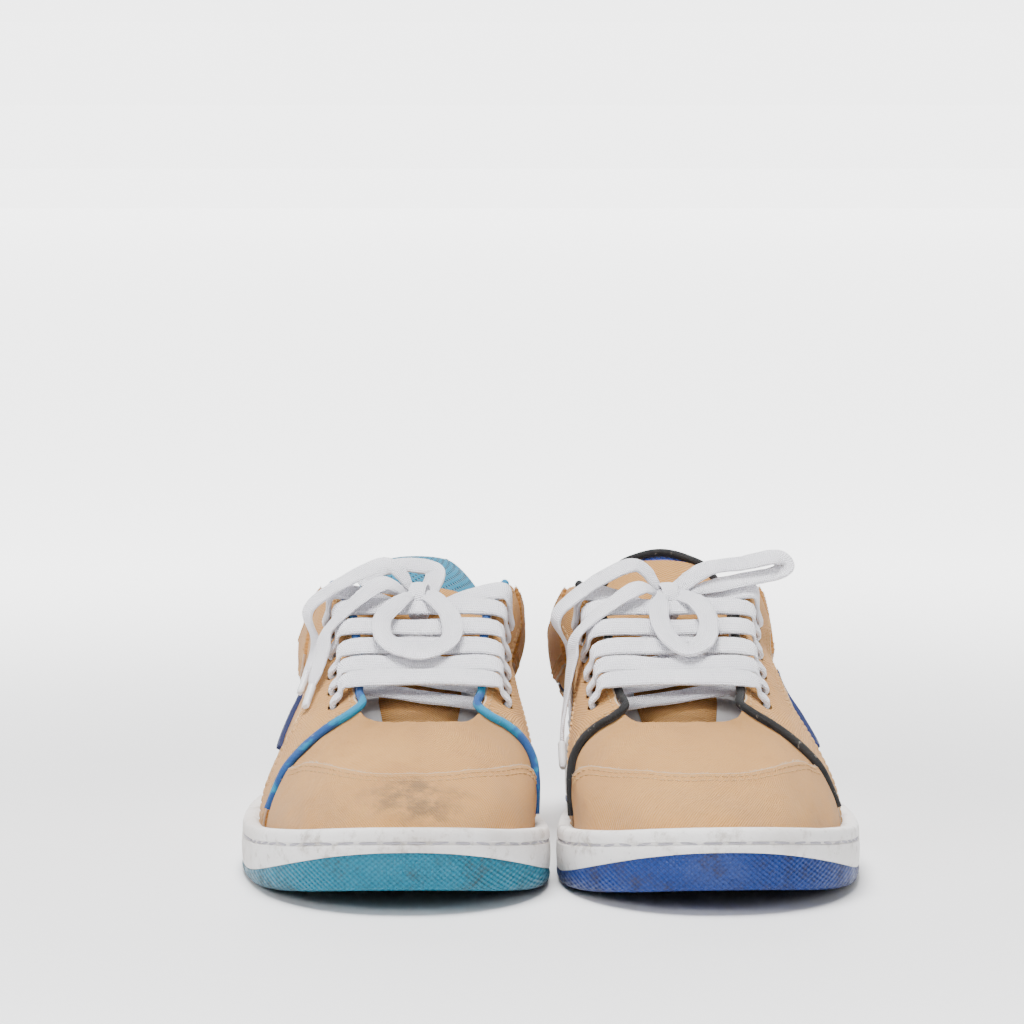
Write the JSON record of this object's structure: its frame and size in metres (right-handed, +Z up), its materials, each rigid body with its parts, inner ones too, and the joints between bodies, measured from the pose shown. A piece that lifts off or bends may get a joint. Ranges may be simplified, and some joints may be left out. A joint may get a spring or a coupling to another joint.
{
  "type": "lace-up shoe pair",
  "caption": "Pair of low canvas lace-up shoes with rubber cup soles, padded collars, tongues, piping and flat laces tied in bows; removable footbeds.",
  "frame": {"origin": "on the ground, under the middle of the pair's box without its laces", "axes": "+Z up, toes towards -Y, +X towards the blue shoe"},
  "size_m": [0.2286, 0.3002, 0.1123],
  "materials": {
    "canvas": "heavy diagonal twill canvas, raw frayed edges",
    "sidewall_rubber": "off-white matt rubber, stippled, stitched",
    "teal_sole_rubber": "teal rubber, worn",
    "blue_sole_rubber": "blue rubber, worn",
    "foam": "cream sole foam",
    "board": "fibre insole board",
    "stiffener": "stiffened cloth",
    "cotton_lining": "white cotton drill",
    "teal_lining_mesh": "teal knitted mesh over foam",
    "blue_lining_mesh": "blue knitted mesh over foam",
    "teal_trim": "blue and teal piping",
    "blue_trim": "black piping and binding",
    "lace": "flat woven white laces"
  },
  "bodies": {
    "teal_shoe": {"teal_outsole": "teal_sole_rubber", "teal_sidewall": "sidewall_rubber", "teal_midsole_wedge": "foam", "teal_insole_board": "board", "teal_lining": "cotton_lining", "teal_toe_puff": "stiffener", "teal_heel_counter": "stiffener", "teal_vamp": "canvas", "teal_toe_cap": "canvas", "teal_quarter_inner": "canvas", "teal_quarter_outer": "canvas", "teal_eyestay_inner": "canvas", "teal_eyestay_outer": "canvas", "teal_piping_inner": "teal_trim", "teal_piping_outer": "teal_trim", "teal_band_inner": "canvas", "teal_band_outer": "canvas", "teal_collar_pad": "teal_lining_mesh", "teal_collar_overlay": "canvas", "teal_heel_overlay": "canvas", "teal_lace_run": "lace", "teal_lace_knot": "lace", "teal_lace_loop_1": "lace", "teal_lace_loop_2": "lace", "teal_lace_end_1": "lace", "teal_lace_end_2": "lace"},
    "teal_footbed": {"teal_footbed": "teal_lining_mesh"},
    "teal_tongue": {"teal_tongue_pad": "teal_lining_mesh", "teal_tongue_face": "canvas"},
    "blue_shoe": {"blue_outsole": "blue_sole_rubber", "blue_sidewall": "sidewall_rubber", "blue_midsole_wedge": "foam", "blue_insole_board": "board", "blue_lining": "cotton_lining", "blue_toe_puff": "stiffener", "blue_heel_counter": "stiffener", "blue_vamp": "canvas", "blue_toe_cap": "canvas", "blue_quarter_inner": "canvas", "blue_quarter_outer": "canvas", "blue_eyestay_inner": "canvas", "blue_eyestay_outer": "canvas", "blue_piping_inner": "blue_trim", "blue_piping_outer": "blue_trim", "blue_band_inner": "canvas", "blue_band_outer": "canvas", "blue_collar_pad": "blue_lining_mesh", "blue_collar_overlay": "canvas", "blue_heel_overlay": "canvas", "blue_lace_run": "lace", "blue_lace_knot": "lace", "blue_lace_loop_1": "lace", "blue_lace_loop_2": "lace", "blue_lace_end_1": "lace", "blue_lace_end_2": "lace"},
    "blue_footbed": {"blue_footbed": "blue_lining_mesh"},
    "blue_tongue": {"blue_tongue_pad": "blue_lining_mesh", "blue_tongue_face": "canvas", "blue_tongue_binding": "blue_trim"}
  },
  "joints": [
    {"name": "blue_shoe_lift", "type": "slide", "parent": "teal_shoe", "child": "blue_shoe", "axis": [0, 0, 1], "range_m": [0, 0.12]},
    {"name": "teal_tongue_press", "type": "hinge", "parent": "teal_shoe", "child": "teal_tongue", "pos_m": [-0.04845, -0.07188, 0.044], "axis": [0.9998, 0.0174, 0], "range_deg": [-5, 0], "stiffness_Nm_per_rad": 1.5},
    {"name": "blue_tongue_press", "type": "hinge", "parent": "blue_shoe", "child": "blue_tongue", "pos_m": [0.05084, -0.0724, 0.044], "axis": [0.9976, 0.0698, 0], "range_deg": [-5, 0], "stiffness_Nm_per_rad": 1.5},
    {"name": "teal_footbed_lift", "type": "hinge", "parent": "teal_shoe", "child": "teal_footbed", "pos_m": [-0.0514, -0.13194, 0.014], "axis": [0.9998, 0.0174, 0], "range_deg": [0, 4]},
    {"name": "blue_footbed_lift", "type": "hinge", "parent": "blue_shoe", "child": "blue_footbed", "pos_m": [0.05901, -0.13198, 0.014], "axis": [0.9976, 0.0698, 0], "range_deg": [0, 4]}
  ]
}
